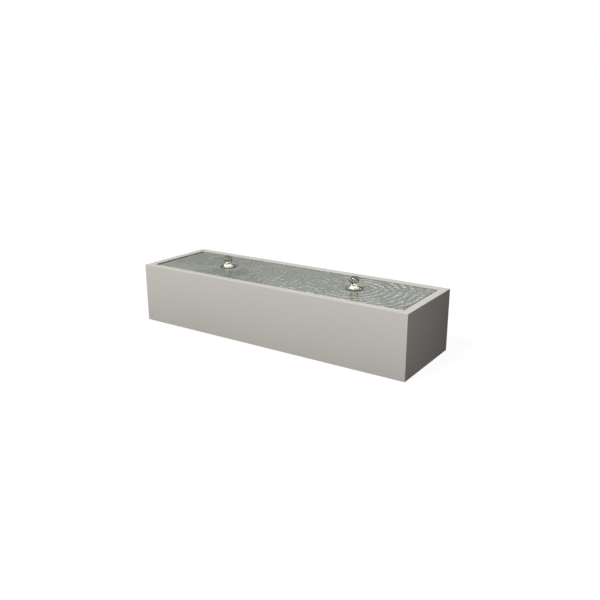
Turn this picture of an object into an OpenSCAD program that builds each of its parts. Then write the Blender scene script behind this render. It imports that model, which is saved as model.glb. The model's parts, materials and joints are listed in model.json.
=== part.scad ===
// Garden water table: a long sheet-metal casing with a lift-out water tray, two lit
// bubbling jets, and the pumps that feed them from a reservoir below the tray.
// Origin at the centre of the underside, +X along the length, +Y to the back, +Z up.

/* [Casing] */
// Length of the casing
casing_l = 2000; // [1700:50:2400]
// Width of the casing
casing_w = 600; // [560:20:800]
// Height of the casing
casing_h = 400; // [400:10:460]
// Thickness of the folded sheet
sheet = 3; // [2:0.5:3]
// Width of the flat rim
rim_w = 50; // [46:1:60]
// Depth of the lip turned down inside the rim
lip_h = 25; // [20:1:30]
// Width of the flange turned in along the underside
foot_flange_w = 30; // [20:1:35]
// Radius of the upright folds
fold_r = 4; // [3:0.5:6]

/* [Tray and water] */
// Depth of the water surface below the rim
water_drop = 5; // [4:0.5:8]
// Depth of the tray from the rim to its floor
tray_depth = 62; // [62:1:70]
// Width of the overflow slot at the right-hand end
slot_w = 12; // [12:1:20]
// Gap between the tray and the lip on the other three sides
tray_gap = 2; // [1.5:0.1:3]
// Thickness of the sheet of water that the tray holds
water_t = 6; // [4:0.5:8]

/* [Jets] */
// Distance between the two jets
jet_pitch = 1000; // [900:20:1200]
// Height of a jet above the water
jet_h = 80; // [78:1:100]
// Outer diameter of a lamp ring
lamp_d = 115; // [112:1:130]
// Width of a lamp ring's flat top
lamp_rim = 10; // [8:0.5:12]
// Lamps round each ring
led_count = 12; // [6:1:16]
// Outer radius of a riser tube
riser_r = 16.25; // [14:0.25:18]
// Radius of a nozzle's ball
ball_r = 14; // [13:0.5:14]

/* [Pumps] */
// Radius of a pump's motor housing
motor_r = 38; // [34:1:42]
// Length of a pump's motor housing
motor_l = 90; // [80:1:110]
// Vanes on an impeller
vane_count = 6; // [5:1:8]
// Slots round a strainer
strainer_slots = 14; // [8:1:16]

/* [Base] */
// Height of the box rails that carry the reservoir
rail_h = 25; // [20:1:30]
// Width of a box rail
rail_w = 50; // [40:1:50]
// Height of the rails' underside above the ground
rail_z = 27; // [26:1:35]
// Diameter of a levelling foot's pad
pad_d = 50; // [40:1:50]

/* [Hidden] */
$fn = 64;
EPS = 0.01;

// Opening inside the rim, and the reservoir's outside
open_l = casing_l - 2 * rim_w;
open_w = casing_w - 2 * rim_w;
inner_l = casing_l - 2 * sheet;
inner_w = casing_w - 2 * sheet;
tub_l = open_l + 4 * sheet;
tub_w = open_w + 4 * sheet;
tub_bottom = rail_z + rail_h;
tub_floor = tub_bottom + sheet;
tub_top = casing_h - 10;
tub_wall_y = tub_w / 2 - sheet;

// Stations of the ribs and of the tray's brackets along the casing
rib_x = [for (f = [-0.4, -0.225, -0.075, 0.075, 0.225, 0.4]) f * casing_l];
bracket_x = [for (f = [-0.4, 0, 0.4]) f * casing_l];
bracket_l = 120;
ledge_w = 30;
pad_t = 3;

// Tray: the three closed sides stand close to the lip, the right-hand side is the weir
tray_floor = casing_h - tray_depth;
tray_under = tray_floor - sheet;
tray_left = -open_l / 2 + tray_gap;
tray_right = open_l / 2 - slot_w;
tray_w = open_w - 2 * tray_gap;
water_z = casing_h - water_drop;
tray_top = water_z + 1.5;
weir_top = water_z - 2.5;
trim_t = 2;

// Jets, counted from the tray's floor up
jet_x = jet_pitch / 2;
SIDES = [-1, 1];
bulkhead_r = 23.8;
bulkhead_flange_r = 34;
bulkhead_bottom = tray_under - 19;
gasket_t = 2;
bulkhead_top = tray_floor + gasket_t + 5;
riser_bore_r = riser_r - 4.25;
riser_bottom = tray_under - 100;
ball_z = water_z - 29;
collar_r = riser_r + 3.25;
lock_r = collar_r + 3.5;
nozzle_top = water_z - 3;
slide_fit = 0.05;
ball_gap = 0.3;
pin_r = 2.5;
pin_half = ball_r + 2;

// Lamp ring
lamp_r = lamp_d / 2;
lamp_hole_r = 26;
leg_r = 5;
leg_reach = 50;
lamp_base = water_z - 21;
lens_z = water_z - 9;
lens_t = 3;
lens_r = lamp_r - lamp_rim;
lamp_top = water_z + 1.5;
lead_r = 3;
lead_y = 40;

// Pump, in its own frame: outlet on the Z axis, tub floor at 0, motor towards -X
pump_z = 70;
volute_r = 42;
volute_half = 22;
motor_back = -volute_half - motor_l;
rotor_r = 13.9;
shaft_r = 2.5;
impeller_r = 28;
inlet_r = 13;
collar_x = 28;
strainer_r = 40;
strainer_l = 46;
pipe_r = riser_bore_r - slide_fit;
pipe_bore_r = 8;
pipe_bottom = pump_z + 41;
pipe_top = riser_bottom - tub_floor + 35;
valve_z = 150;
stem_r = 3;

// Base
rail_y = 180;
foot_x = casing_l / 2 - 150;
bearer_x = [-foot_x, 0, foot_x];
FEET = [[-foot_x, -rail_y], [foot_x, -rail_y], [foot_x, rail_y], [-foot_x, rail_y]];
stem_foot_r = 5.95;
pad_h = 8;
nut_h = 6;
drain_x = 90 - foot_x;
drain_bore_r = 12;
waste_r = 9;

// Junction box on the reservoir's back wall, and where the supply cable comes in
box_l = 120;
box_d = 40;
box_h = 70;
box_z = 95;
box_y = tub_wall_y - box_d / 2;
entry_z = 130;
entry_r = 5;
entry_hole_r = 10;
box_lead_x = box_l / 2 + 8;
box_lead_z = [115, 145];

// Plugs and sockets of the lamps' leads
plug_x = 250;
plug_y = tub_wall_y - 15;
plug_top = tray_under - 5;
socket_top = tray_under - 37;
socket_bottom = socket_top - 36;
plug_lead_z = tray_under - 19;

// Routes of the leads on the right-hand side; the left-hand side mirrors them
pump_lead_x = jet_x + motor_back - 14;
pump_route = [for (p = [
        [1, 0, pump_z], [0.9, 0, pump_z - 2], [0.82, 0.02, 47], [0.75, 0.08, 19], [0.65, 0.2, 5],
        [0.43, 0.5, 4], [0.24, 0.82, 5], [0.14, 0.95, 19], [0.1, 0.99, 42]])
    [box_lead_x + p[0] * (pump_lead_x - box_lead_x), p[1] * box_y, tub_floor + p[2]],
    [box_lead_x + 16, box_y, box_lead_z[0] - 3], [box_lead_x, box_y, box_lead_z[0]]];
socket_route = [[plug_x, plug_y, socket_bottom], [plug_x, plug_y, socket_bottom - 27],
    [plug_x - 4, plug_y - 1, 195], [plug_x - 22, plug_y - 3, 163], [plug_x - 60, plug_y - 4, 148],
    [130, box_y, box_lead_z[1]], [box_lead_x, box_y, box_lead_z[1]]];
lamp_route = [for (p = [
        [0, lead_y, lamp_base], [0, lead_y, tray_under + 17], [0, lead_y, tray_under + 5],
        [0, lead_y, tray_under - 3], [0, lead_y + 2, tray_under - 10], [1, lead_y + 12, plug_lead_z + 2],
        [3, 80, plug_lead_z], [18, 140, plug_lead_z], [60, 0.82 * plug_y, plug_lead_z],
        [130, plug_y - 8, plug_lead_z], [190, plug_y, plug_lead_z]])
    [jet_x - p[0], p[1], p[2]], [plug_x + 16, plug_y, plug_lead_z]];

// Points of a rectangle with round corners
function round_rect(l, w, r, steps = 6) =
    [for (c = [[1, 1, 0], [-1, 1, 90], [-1, -1, 180], [1, -1, 270]])
        for (i = [0 : steps])
            let (a = c[2] + 90 * i / steps)
            [c[0] * (l / 2 - r) + r * cos(a), c[1] * (w / 2 - r) + r * sin(a)]];

// A smooth curve through a route's points, with n steps between neighbours
function curve(p, n) =
    let (last = len(p) - 1)
    concat([for (i = [0 : last - 1]) for (j = [0 : n - 1])
        let (a = p[max(i - 1, 0)], b = p[i], c = p[i + 1], d = p[min(i + 2, last)], t = j / n)
        0.5 * (2 * b + (c - a) * t + (2 * a - 5 * b + 4 * c - d) * t * t
            + (3 * b - a - 3 * c + d) * t * t * t)],
        [p[last]]);

function unit(v) = v / norm(v);

// A tube along a route: one ring of points per station, carried along without twist
module tube(route, r, sides = 8, steps = 3) {
    p = curve(route, steps);
    n = len(p);
    dir = [for (i = [0 : n - 1]) unit(p[min(i + 1, n - 1)] - p[max(i - 1, 0)])];
    first = unit(cross(dir[0], abs(dir[0][1]) < 0.9 ? [0, 1, 0] : [1, 0, 0]));
    function turned(s, d) = unit(s - (s * d) * d);
    side = [for (i = 0, s = first; i < n; i = i + 1, s = turned(s, dir[min(i, n - 1)])) s];
    points = [for (i = [0 : n - 1]) for (k = [0 : sides - 1])
        let (a = -360 * k / sides) p[i] + r * (cos(a) * side[i] + sin(a) * cross(dir[i], side[i]))];
    polyhedron(points, concat(
        [[for (k = [0 : sides - 1]) sides - 1 - k]],
        [for (i = [0 : n - 2]) for (k = [0 : sides - 1])
            let (a = i * sides + k, b = i * sides + (k + 1) % sides)
            [a, b, b + sides, a + sides]],
        [[for (k = [0 : sides - 1]) (n - 1) * sides + k]]), convexity = 6);
}

// A block centred on the Z axis, from z0 up
module block(l, w, h, z0) {
    translate([-l / 2, -w / 2, z0]) cube([l, w, h]);
}

// A block with round upright edges
module round_block(l, w, h, z0, r) {
    translate([0, 0, z0]) linear_extrude(h) polygon(round_rect(l, w, r));
}

// A ring about the Z axis between two heights
module ring(r_out, r_in, z0, z1) {
    translate([0, 0, z0]) difference() {
        cylinder(h = z1 - z0, r = r_out);
        translate([0, 0, -1]) cylinder(h = z1 - z0 + 2, r = r_in);
    }
}

// A cylinder along X or Y between two stations
module rod_x(r, x0, x1) {
    translate([x0, 0, 0]) rotate([0, 90, 0]) cylinder(h = x1 - x0, r = r);
}

module rod_y(r, y0, y1) {
    translate([0, y0, 0]) rotate([-90, 0, 0]) cylinder(h = y1 - y0, r = r);
}

// The shape on the right-hand side, or its mirror image on the left
module handed(side) {
    mirror([side < 0 ? 1 : 0, 0, 0]) children();
}

module at_jet(side) {
    translate([side * jet_x, 0, 0]) children();
}

module at_pump(side) {
    handed(side) translate([jet_x, 0, tub_floor]) children();
}

// --- Casing, reservoir and base ---

module casing() {
    color("#bcb9b4") difference() {
        union() {
            difference() {
                round_block(casing_l, casing_w, casing_h, 0, fold_r);
                round_block(inner_l, inner_w, casing_h - 2 * sheet, sheet, fold_r - sheet + 1);
                block(inner_l - 2 * foot_flange_w, inner_w - 2 * foot_flange_w, 10, -2);
                block(open_l, open_w, 10, casing_h - 5);
            }
            difference() {
                block(open_l + 2 * sheet, open_w + 2 * sheet, lip_h - 1, casing_h - lip_h);
                block(open_l, open_w, lip_h + 2, casing_h - lip_h - 1);
            }
        }
        translate([0, casing_w / 2, entry_z]) rod_y(entry_hole_r, -10, 10);
    }
}

// Upright plates welded between the casing and the reservoir, under the rim
module rim_ribs() {
    rib_h = 60;
    rib_z = casing_h - sheet - rib_h;
    gap_y = (inner_w - tub_w) / 2;
    gap_x = (inner_l - tub_l) / 2;
    color("#a9a7a2") for (side = SIDES) {
        for (x = rib_x)
            translate([x, side * (tub_w + gap_y) / 2, 0]) block(sheet, gap_y, rib_h, rib_z);
        for (y = [-120, 120])
            translate([side * (tub_l + gap_x) / 2, y, 0]) block(gap_x, sheet, rib_h, rib_z);
    }
}

// Two long box rails joined by cross bearers that reach the casing's walls
module base_frame() {
    wall = 2;
    color("#8d9093") difference() {
        union() {
            for (side = SIDES)
                translate([0, side * rail_y, 0]) block(inner_l, rail_w, rail_h, rail_z);
            for (x = bearer_x)
                translate([x, 0, 0]) block(rail_w, inner_w, rail_h, rail_z);
        }
        for (side = SIDES)
            translate([0, side * rail_y, 0])
                block(inner_l + 2, rail_w - 2 * wall, rail_h - 2 * wall, rail_z + wall);
        for (foot = FEET)
            translate([foot[0], foot[1], rail_z - 1]) cylinder(h = wall + 2, r = 7);
    }
}

module foot_nuts() {
    color("silver") for (foot = FEET)
        translate([foot[0], foot[1], rail_z - nut_h]) difference() {
            cylinder(h = nut_h, r = 12, $fn = 6);
            translate([0, 0, -1]) cylinder(h = nut_h + 2, r = stem_foot_r + slide_fit);
        }
}

module foot_stem(i) {
    translate([FEET[i][0], FEET[i][1], 0]) color("silver") {
        translate([0, 0, pad_h]) cylinder(h = tub_bottom - 4 - pad_h, r = stem_foot_r);
        translate([0, 0, pad_h]) cylinder(h = 8, r = 11, $fn = 6);
    }
}

module foot_pad(i) {
    translate([FEET[i][0], FEET[i][1], 0]) color("#26282a")
        rotate_extrude()
            polygon([[0, 0], [pad_d / 2, 0], [pad_d / 2, 3], [pad_d / 2 - 8, pad_h], [0, pad_h]]);
}

module reservoir_tub() {
    color("#85888a") difference() {
        block(tub_l, tub_w, tub_top - tub_bottom, tub_bottom);
        block(tub_l - 2 * sheet, tub_w - 2 * sheet, tub_top, tub_floor);
        translate([drain_x, 0, tub_bottom - 1]) cylinder(h = sheet + 2, r = drain_bore_r + 4);
        translate([0, tub_w / 2, entry_z]) rod_y(entry_hole_r, -10, 10);
    }
}

// Ledges on the reservoir's long walls that the tray stands on
module tray_brackets() {
    flap_h = 34;
    under = tray_under - pad_t - sheet;
    color("#85888a") for (x = bracket_x) for (side = SIDES)
        translate([x, 0, 0]) mirror([0, side < 0 ? 1 : 0, 0]) {
            translate([-bracket_l / 2, tub_wall_y - ledge_w, under]) cube([bracket_l, ledge_w, sheet]);
            translate([-bracket_l / 2, tub_wall_y - sheet, under - flap_h]) cube([bracket_l, sheet, flap_h]);
            for (gusset = [-45, 42])
                translate([gusset, tub_wall_y - sheet, under]) rotate([0, 90, 0]) linear_extrude(sheet)
                    polygon([[0, 0], [24, 0], [0, -22]]);
        }
}

module tray_pads() {
    color("#26282a") for (x = bracket_x) for (side = SIDES)
        translate([x, side * (tub_wall_y - 17), 0]) block(bracket_l - 10, 20, pad_t, tray_under - pad_t);
}

module drain_bush() {
    translate([drain_x, 0, 0]) color("#b5a268") difference() {
        union() {
            translate([0, 0, rail_z]) cylinder(h = tub_floor - rail_z + 1, r = drain_bore_r + 3.9);
            translate([0, 0, tub_floor]) cylinder(h = 3, r = 24);
        }
        translate([0, 0, rail_z - 1]) cylinder(h = 20, r = drain_bore_r);
        translate([0, 0, rail_z]) cylinder(h = 60, r = waste_r + slide_fit);
    }
}

module drain_plug() {
    translate([drain_x, 0, tub_floor + 3]) color("#b5a268") {
        translate([0, 0, -11]) cylinder(h = 12, r = waste_r);
        cylinder(h = 4, r = 15);
        translate([0, 0, 4]) cylinder(h = 7, r = 10, $fn = 6);
    }
}

// --- Wiring ---

module junction_box() {
    translate([0, box_y, 0]) color("#3a3d40") difference() {
        union() {
            block(box_l, box_d, box_h, box_z);
            for (side = SIDES) for (z = box_lead_z)
                handed(side) translate([0, 0, z]) rod_x(7, box_l / 2 - 1, box_lead_x);
        }
        block(box_l - 6, box_d - 6, box_h, box_z + 3);
        translate([0, 0, entry_z]) rod_y(entry_hole_r, 10, 30);
    }
}

module junction_lid() {
    translate([0, box_y, 0]) color("#4a4e52") difference() {
        union() {
            block(box_l, box_d, 3, box_z + box_h);
            block(box_l - 7, box_d - 7, 3, box_z + box_h - 2.5);
        }
        for (x = [-52, 52]) for (y = [-12, 12])
            translate([x, y, box_z + box_h - 5]) cylinder(h = 20, r = 2);
    }
}

module junction_screws() {
    color("silver") for (x = [-52, 52]) for (y = [-12, 12])
        translate([x, box_y + y, box_z + box_h + 3]) difference() {
            union() {
                translate([0, 0, -8]) cylinder(h = 9, r = 1.9);
                cylinder(h = 2.5, r = 3.8);
            }
            translate([0, 0, 1.2]) cylinder(h = 2, r = 1.6, $fn = 6);
        }
}

// Sealed gland that takes the supply cable through the reservoir's wall into the box
module cable_gland() {
    translate([0, tub_w / 2, entry_z]) color("#2c2e30") difference() {
        union() {
            rod_y(entry_hole_r - 0.1, -2 * sheet - 4, 14);
            rod_y(15, 0, 5);
            translate([0, 5, 0]) rotate([-90, 0, 0]) cylinder(h = 6, r = 14, $fn = 6);
        }
        rod_y(entry_r, -20, 20);
    }
}

module entry_grommet() {
    translate([0, casing_w / 2, entry_z]) color("#26282a") difference() {
        union() {
            rod_y(entry_hole_r - 0.1, -sheet - 1, 0);
            rod_y(14, -sheet - 5, -sheet);
        }
        rod_y(entry_r, -20, 10);
    }
}

// Leads inside the reservoir, from the pumps and the lamp sockets to the junction box
module supply_leads() {
    color("#2f3133") for (side = SIDES) handed(side) {
        tube(pump_route, lead_r);
        tube(socket_route, lead_r);
    }
}

module lamp_sockets() {
    color("#3a3d40") for (side = SIDES) handed(side) translate([plug_x, plug_y, 0]) difference() {
        union() {
            translate([0, 0, socket_bottom]) cylinder(h = socket_top - socket_bottom, r = 10);
            translate([-8, 0, socket_top - 30]) cube([16, tub_wall_y - plug_y, 24]);
        }
        translate([0, 0, socket_top - 14]) cylinder(h = 20, r = 6.05);
    }
}

module lamp_plugs() {
    color("#2f3133") for (side = SIDES) handed(side) translate([plug_x, plug_y, 0]) {
        translate([0, 0, socket_top]) cylinder(h = plug_top - socket_top, r = 9);
        translate([0, 0, socket_top - 13]) cylinder(h = 14, r = 6);
        translate([0, 0, plug_lead_z]) rod_x(5, 5, 16);
    }
}

module lamp_leads() {
    color("#2f3133") for (side = SIDES) handed(side) tube(lamp_route, lead_r);
}

// --- Pumps ---

module pump_housing(side) {
    at_pump(side) color("#3a3d40") difference() {
        union() {
            translate([0, 0, pump_z]) {
                rod_x(motor_r, motor_back, -volute_half);
                for (x = [motor_back + 12 : 12 : -volute_half - 12]) rod_x(motor_r + 3, x, x + 4);
                rod_x(7, motor_back - 14, motor_back + 1);
            }
            translate([motor_back + 10, -30, 14]) cube([-motor_back + 8, 60, 12]);
            translate([motor_back + 14, -18, 20]) cube([motor_l - 22, 36, 24]);
        }
        translate([0, 0, pump_z]) {
            rod_x(rotor_r + 0.4, motor_back + 12, 0);
            rod_x(shaft_r + slide_fit, motor_back + 8, 0);
        }
    }
}

module pump_volute(side) {
    at_pump(side) color("#2f3133") difference() {
        union() {
            translate([0, 0, pump_z]) {
                rod_x(volute_r, -volute_half, volute_half);
                rod_x(18, volute_half - 1, collar_x);
            }
            translate([0, 0, pump_z + 30]) cylinder(h = 24, r = 16);
        }
        translate([0, 0, pump_z]) {
            rod_x(impeller_r + 3, -volute_half - 1, 14);
            difference() {
                rod_x(inlet_r, 13, collar_x + 1);
                translate([13, -1.5, -20]) cube([5, 3, 40]);
                translate([13, -20, -1.5]) cube([5, 40, 3]);
                rod_x(5, 13, 18);
            }
            rod_x(shaft_r + slide_fit, 10, 30);
        }
        translate([0, 0, pipe_bottom]) cylinder(h = 30, r = pipe_r + slide_fit);
        translate([0, 0, pump_z + 20]) cylinder(h = 40, r = pipe_bore_r);
    }
}

module impeller_shafts() {
    color("ivory") for (side = SIDES) at_pump(side)
        translate([0, 0, pump_z]) rod_x(shaft_r, motor_back + 8.5, 17);
}

module impeller(side) {
    at_pump(side) color("#d9d4c4") translate([0, 0, pump_z]) difference() {
        union() {
            rod_x(rotor_r, motor_back + 14, -volute_half + 4);
            rod_x(impeller_r, -volute_half + 3.5, -volute_half + 7);
            rod_x(7, -volute_half + 6, 4);
            for (i = [0 : vane_count - 1]) rotate([360 * i / vane_count, 0, 0])
                translate([-volute_half + 6.5, -1, 5]) cube([16, 2, impeller_r - 6]);
        }
        rod_x(shaft_r + slide_fit, motor_back, 20);
    }
}

module outlet_pipe(side) {
    at_pump(side) color("#4a4e52") difference() {
        union() {
            translate([0, 0, pipe_bottom]) cylinder(h = pipe_top - pipe_bottom, r = pipe_r);
            translate([0, 0, valve_z]) rod_y(9, -22, 16);
        }
        translate([0, 0, pipe_bottom - 1]) cylinder(h = pipe_top, r = pipe_bore_r);
        translate([0, 0, valve_z]) rod_y(stem_r + slide_fit, -30, 13);
    }
}

// Knob, stem and the disc that it turns across the outlet
module flow_knob(side) {
    at_pump(side) color("#d77b2a") translate([0, 0, valve_z]) {
        rod_y(stem_r, -25, 12.5);
        rod_x(7.6, -0.8, 0.8);
        difference() {
            rod_y(14, -36, -23);
            for (i = [0 : 9]) rotate([0, 36 * i, 0]) translate([0, 0, 14.6]) rod_y(1.6, -40, -27);
        }
        translate([-1.5, -38, 2]) cube([3, 2.5, 10]);
    }
}

module strainer(side) {
    at_pump(side) color("#2c2e30") translate([0, 0, pump_z]) difference() {
        rod_x(strainer_r, volute_half + 1, volute_half + 1 + strainer_l);
        rod_x(strainer_r - 3, volute_half + 4, volute_half - 2 + strainer_l);
        rod_x(18.1, volute_half, volute_half + 6);
        for (i = [0 : strainer_slots - 1]) rotate([360 * i / strainer_slots, 0, 0])
            translate([volute_half + 9, -2.5, strainer_r - 8]) cube([strainer_l - 16, 5, 16]);
    }
}

module pump_feet() {
    color("#26282a") for (side = SIDES) at_pump(side) for (x = [motor_back + 20, 4]) for (y = [-20, 20])
        translate([x, y, 0]) rotate_extrude()
            polygon([[0, 3], [9, 0], [13, 0], [8, 7], [8, 14], [0, 14]]);
}

// --- Tray and what it carries ---

module tray() {
    mid = (tray_left + tray_right) / 2;
    tray_l = tray_right - tray_left;
    color("#8f968f") difference() {
        translate([mid, 0, 0]) block(tray_l, tray_w, tray_top - tray_under, tray_under);
        translate([mid, 0, 0]) block(tray_l - 2 * sheet, tray_w - 2 * sheet, tray_depth, tray_floor);
        translate([tray_right - sheet - 1, -tray_w / 2 + sheet, weir_top])
            cube([sheet + 2, tray_w - 2 * sheet, 10]);
        for (side = SIDES) at_jet(side) {
            translate([0, 0, tray_under - 1]) cylinder(h = sheet + 2, r = bulkhead_r + 0.2);
            translate([0, lead_y, tray_under - 1]) cylinder(h = sheet + 2, r = lead_r + 0.2);
        }
    }
}

// Rubber strip that closes the gap to the lip on the three closed sides
module tray_seal() {
    t = tray_gap - 0.2;
    z0 = casing_h - lip_h + 3;
    h = 12;
    color("#26282a") difference() {
        translate([tray_left - t, -tray_w / 2 - t, z0]) cube([tray_right - tray_left + t, tray_w + 2 * t, h]);
        translate([tray_left, -tray_w / 2, z0 - 1]) cube([tray_right - tray_left + 10, tray_w, h + 2]);
    }
}

// Rubber edge pressed over the top of the weir
module weir_trim() {
    trim_h = 9;
    trim_w = tray_w - 2 * sheet - 1;
    color("#777e79") difference() {
        translate([tray_right - sheet - trim_t, -trim_w / 2, weir_top + trim_t - trim_h])
            cube([sheet + 2 * trim_t, trim_w, trim_h]);
        translate([tray_right - sheet, -trim_w, weir_top - trim_h]) cube([sheet, 2 * trim_w, trim_h]);
    }
}

// Slotted leaf guard that hangs outside the weir, below the overflow slot
module slot_screen() {
    screen_l = tray_w - 16;
    screen_z = casing_h - 34;
    pitch = 20;
    slots = floor(screen_l / pitch);
    color("#85888a") difference() {
        translate([tray_right, -screen_l / 2, screen_z]) union() {
            cube([slot_w - 2, screen_l, 2]);
            cube([1.5, screen_l, 16]);
        }
        for (i = [0 : slots - 1])
            translate([tray_right + 4, (i - slots / 2) * pitch + 4, screen_z - 1]) cube([slot_w - 7, 12, 4]);
    }
}

module bulkheads() {
    color("#4a4e52") for (side = SIDES) at_jet(side) difference() {
        union() {
            translate([0, 0, bulkhead_bottom]) cylinder(h = bulkhead_top - bulkhead_bottom, r = bulkhead_r);
            translate([0, 0, bulkhead_top - 5]) cylinder(h = 5, r = bulkhead_flange_r);
        }
        translate([0, 0, bulkhead_bottom - 1])
            cylinder(h = bulkhead_top - bulkhead_bottom + 2, r = riser_r + slide_fit);
    }
}

module bulkhead_gaskets() {
    color("#26282a") for (side = SIDES) at_jet(side) {
        ring(bulkhead_flange_r - 1, bulkhead_r + 0.1, tray_floor, tray_floor + gasket_t);
        translate([0, lead_y, 0]) ring(6, lead_r + 0.1, tray_floor, tray_floor + 4);
    }
}

module bulkhead_nuts() {
    color("#4a4e52") for (side = SIDES) at_jet(side) difference() {
        translate([0, 0, tray_under - 8]) cylinder(h = 8, r = 33, $fn = 6);
        translate([0, 0, tray_under - 9]) cylinder(h = 10, r = bulkhead_r + 0.1);
    }
}

// Round lamp housing on three legs, with a channel for the lamps and a step for the lens
module lamp_ring(side) {
    at_jet(side) color("#2e3a36") {
        difference() {
            translate([0, 0, lamp_base]) cylinder(h = lamp_top - lamp_base, r = lamp_r);
            translate([0, 0, lamp_base - 1]) cylinder(h = 60, r = lamp_hole_r);
            ring(lens_r - 2.5, lamp_hole_r + 2, lamp_base + 2, lamp_top + 1);
            translate([0, 0, lens_z]) cylinder(h = 30, r = lens_r);
        }
        for (a = [30, 150, 270])
            translate([leg_reach * cos(a), leg_reach * sin(a), tray_floor])
                cylinder(h = lamp_base - tray_floor + 1, r = leg_r);
    }
}

module lamp_lenses() {
    color("#dfe6e2", 0.6) for (side = SIDES) at_jet(side)
        ring(lens_r - 0.1, lamp_hole_r, lens_z, lens_z + lens_t);
}

module lamp_leds() {
    board_z = lamp_base + 2;
    color("#ffe9b8") for (side = SIDES) at_jet(side) {
        ring(lens_r - 4, lamp_hole_r + 3.5, board_z, board_z + 1.6);
        for (i = [0 : led_count - 1]) rotate([0, 0, 360 * i / led_count])
            translate([36, 0, board_z + 1]) cylinder(h = 3, r = 2.5);
    }
}

// Room for a nozzle's ball and the two pins that it tilts on
module ball_seat() {
    translate([0, 0, ball_z]) {
        sphere(r = ball_r + ball_gap);
        rod_y(pin_r + slide_fit, -pin_half - ball_gap, pin_half + ball_gap);
    }
}

// Height-adjusting tube with the lower half of the ball's socket at its top
module riser(side) {
    at_jet(side) color("#4a4e52") difference() {
        union() {
            translate([0, 0, riser_bottom]) cylinder(h = ball_z - riser_bottom, r = riser_r);
            translate([0, 0, ball_z - 14]) cylinder(h = 14, r = collar_r);
        }
        translate([0, 0, riser_bottom - 1]) cylinder(h = 200, r = riser_bore_r);
        ball_seat();
    }
}

// Screwed ring with the upper half of the ball's socket
module lock_ring(side) {
    at_jet(side) color("#3a3d40") difference() {
        translate([0, 0, ball_z - 8]) cylinder(h = 16, r = lock_r);
        translate([0, 0, ball_z - 9]) cylinder(h = 9 + EPS, r = collar_r + 0.1);
        ball_seat();
        for (i = [0 : 11]) rotate([0, 0, 30 * i])
            translate([lock_r + 0.6, 0, ball_z - 9]) cylinder(h = 20, r = 1.6);
    }
}

module nozzle(side) {
    at_jet(side) color("#c9cccd") difference() {
        union() {
            translate([0, 0, ball_z]) sphere(r = ball_r);
            translate([0, 0, ball_z]) rod_y(pin_r, -pin_half, pin_half);
            translate([0, 0, ball_z]) cylinder(h = nozzle_top - ball_z, r = 8);
            translate([0, 0, nozzle_top - 10]) cylinder(h = 10, r = 11);
        }
        translate([0, 0, ball_z - 20]) cylinder(h = 80, r = 5);
    }
}

// --- Water ---

module water_pool() {
    x0 = tray_left + sheet + 0.5;
    x1 = tray_right - sheet - trim_t - 0.5;
    w = tray_w - 2 * sheet - 1;
    color("#92998f", 0.8) difference() {
        translate([x0, -w / 2, water_z - water_t]) cube([x1 - x0, w, water_t]);
        for (side = SIDES) at_jet(side) translate([0, 0, water_z - 20]) cylinder(h = 40, r = lamp_r + 0.5);
    }
}

// Foam at the surface, a neck above it and the rounded head of the jet
module water_jet(side) {
    foot = water_z + 2;
    head_z = water_z + jet_h - 28;
    at_jet(side) color("#d8dcd2", 0.8) rotate_extrude() polygon(concat(
        [[0, nozzle_top], [10, nozzle_top], [10, foot], [36, foot]],
        [for (a = [10 : 20 : 70]) [18 + 18 * cos(a), foot + 22 * sin(a)]],
        [[17, foot + 26]],
        [for (a = [-50 : 20 : 90]) [30 * cos(a), head_z + 28 * sin(a)]]));
}

casing();
rim_ribs();
base_frame();
foot_nuts();
reservoir_tub();
tray_brackets();
tray_pads();
drain_bush();
drain_plug();
junction_box();
junction_lid();
junction_screws();
cable_gland();
entry_grommet();
supply_leads();
lamp_sockets();
pump_housing(-1);  // pump_housing_left
pump_housing(1);  // pump_housing_right
pump_volute(-1);  // pump_volute_left
pump_volute(1);  // pump_volute_right
outlet_pipe(-1);  // outlet_pipe_left
outlet_pipe(1);  // outlet_pipe_right
pump_feet();
impeller_shafts();
impeller(-1);  // impeller_left
impeller(1);  // impeller_right
flow_knob(-1);  // flow_knob_left
flow_knob(1);  // flow_knob_right
strainer(-1);  // strainer_left
strainer(1);  // strainer_right
foot_stem(0);  // foot_stem_1
foot_stem(1);  // foot_stem_2
foot_stem(2);  // foot_stem_3
foot_stem(3);  // foot_stem_4
foot_pad(0);  // foot_pad_1
foot_pad(1);  // foot_pad_2
foot_pad(2);  // foot_pad_3
foot_pad(3);  // foot_pad_4
tray();
tray_seal();
weir_trim();
slot_screen();
bulkheads();
bulkhead_gaskets();
bulkhead_nuts();
lamp_ring(-1);  // lamp_ring_left
lamp_ring(1);  // lamp_ring_right
lamp_lenses();
lamp_leds();
lamp_leads();
lamp_plugs();
riser(-1);  // riser_left
riser(1);  // riser_right
lock_ring(-1);  // lock_ring_left
lock_ring(1);  // lock_ring_right
nozzle(-1);  // nozzle_left
nozzle(1);  // nozzle_right
water_pool();
water_jet(-1);  // water_jet_left
water_jet(1);  // water_jet_right
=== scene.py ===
"""Looks of a garden water table: coated casing, rippling water, two lit jets and the gear inside."""

import json
import math
import random

import bmesh
import bpy
from bpy.props import FloatProperty, FloatVectorProperty, IntProperty, PointerProperty
from mathutils import Matrix, Vector, noise


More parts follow.
